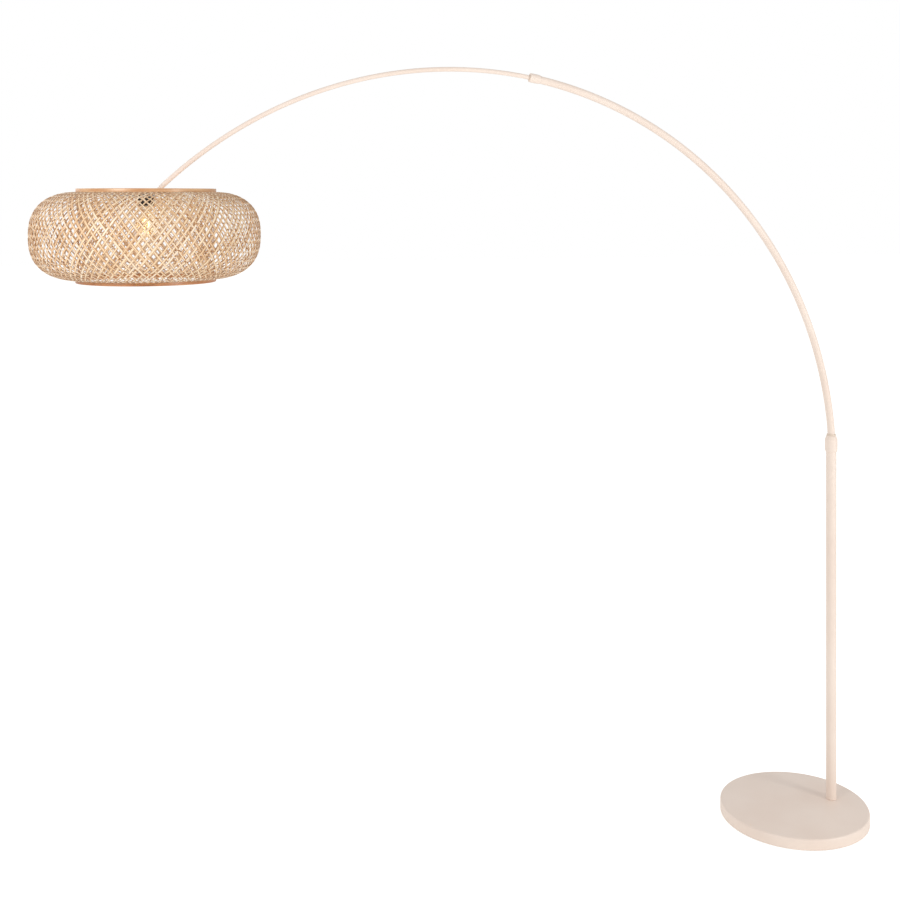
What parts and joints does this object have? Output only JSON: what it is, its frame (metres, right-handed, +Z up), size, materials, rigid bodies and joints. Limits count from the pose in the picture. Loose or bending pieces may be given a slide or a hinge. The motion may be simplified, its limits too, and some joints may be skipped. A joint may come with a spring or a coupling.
{
  "type": "arc floor lamp",
  "caption": "Arc floor lamp with a weighted round base, an upright post, a telescopic bent arm and a flattened round shade of woven bamboo.",
  "frame": {"origin": "centre of the base's underside, on the floor", "axes": "+Z is up, and the arm reaches out along -X, so that +X runs from the shade towards the post; the post stands 116 mm to +X of the base's centre"},
  "size_m": [2.2172, 0.545, 2.0426],
  "materials": {
    "cream_paint": "matt cream powder coat",
    "cast_iron": "as cast, dark",
    "foam": "black closed-cell foam",
    "rubber": "black moulded rubber",
    "black_plastic": "black, low sheen",
    "cream_nylon": "cream moulded nylon",
    "zinc_steel": "zinc plated",
    "brass": "bare brass",
    "porcelain": "unglazed white",
    "ash_wood": "clear satin lacquer on bent wood",
    "bamboo": "split bamboo, clear satin lacquer",
    "clear_glass": "clear",
    "phosphor": "amber phosphor coat on the filament sticks"
  },
  "bodies": {
    "root": {"base_cover": "cream_paint", "base_weight": "cast_iron", "base_pad": "foam", "cable_gland": "rubber", "hollow_bolt": "zinc_steel", "bolt_washer": "zinc_steel", "post_foot_plug": "zinc_steel", "post_tube": "cream_paint", "post_collet": "cream_nylon"},
    "collar": {"post_collar": "cream_paint"},
    "mast": {"mast_glide": "cream_nylon"},
    "lower": {"lower_arc": "cream_paint", "arc_collet": "cream_nylon"},
    "tip_collar": {"arc_collar": "cream_paint"},
    "upper": {"upper_glide": "cream_nylon", "upper_arc": "cream_paint", "tip_fork": "cream_paint", "knuckle_screw": "zinc_steel", "knuckle_nut": "zinc_steel"},
    "head": {"head_knuckle": "cream_paint", "nipple": "brass", "nipple_nut": "zinc_steel", "holder_cap": "black_plastic", "holder_body": "black_plastic", "holder_insert": "porcelain", "centre_contact": "brass", "screw_shell": "brass", "shade_ring": "black_plastic", "spider": "cream_paint", "spider_screw_1": "zinc_steel", "spider_screw_2": "zinc_steel", "spider_screw_3": "zinc_steel", "top_hoop": "ash_wood", "bottom_hoop": "ash_wood", "outer_weave": "bamboo", "inner_weave": "bamboo", "bulb_cap": "brass", "bulb_glass": "clear_glass", "bulb_stem": "clear_glass", "filaments": "phosphor"}
  },
  "joints": [
    {"name": "post_collar_twist", "type": "hinge", "parent": "root", "child": "collar", "pos_m": [0.116, 0, 1], "axis": [0, 0, 1], "range_deg": [0, 45]},
    {"name": "mast_slide", "type": "slide", "parent": "root", "child": "mast", "axis": [0, 0, 1], "range_m": [0, 0.25]},
    {"name": "mast_swivel", "type": "hinge", "parent": "mast", "child": "lower", "pos_m": [0.116, 0, 1], "axis": [0, 0, 1], "range_deg": [-170, 170]},
    {"name": "arc_collar_twist", "type": "hinge", "parent": "lower", "child": "tip_collar", "pos_m": [-0.76741, 0, 2.01955], "axis": [-0.9841, 0, 0.1778], "range_deg": [0, 45]},
    {"name": "arc_slide", "type": "hinge", "parent": "lower", "child": "upper", "pos_m": [-0.95944, 0, 0.95676], "axis": [0, -1, 0], "range_deg": [-35, 8]},
    {"name": "head_tilt", "type": "hinge", "parent": "upper", "child": "head", "pos_m": [-1.71866, 0, 1.72487], "axis": [0, -1, 0], "range_deg": [-30, 30]}
  ]
}
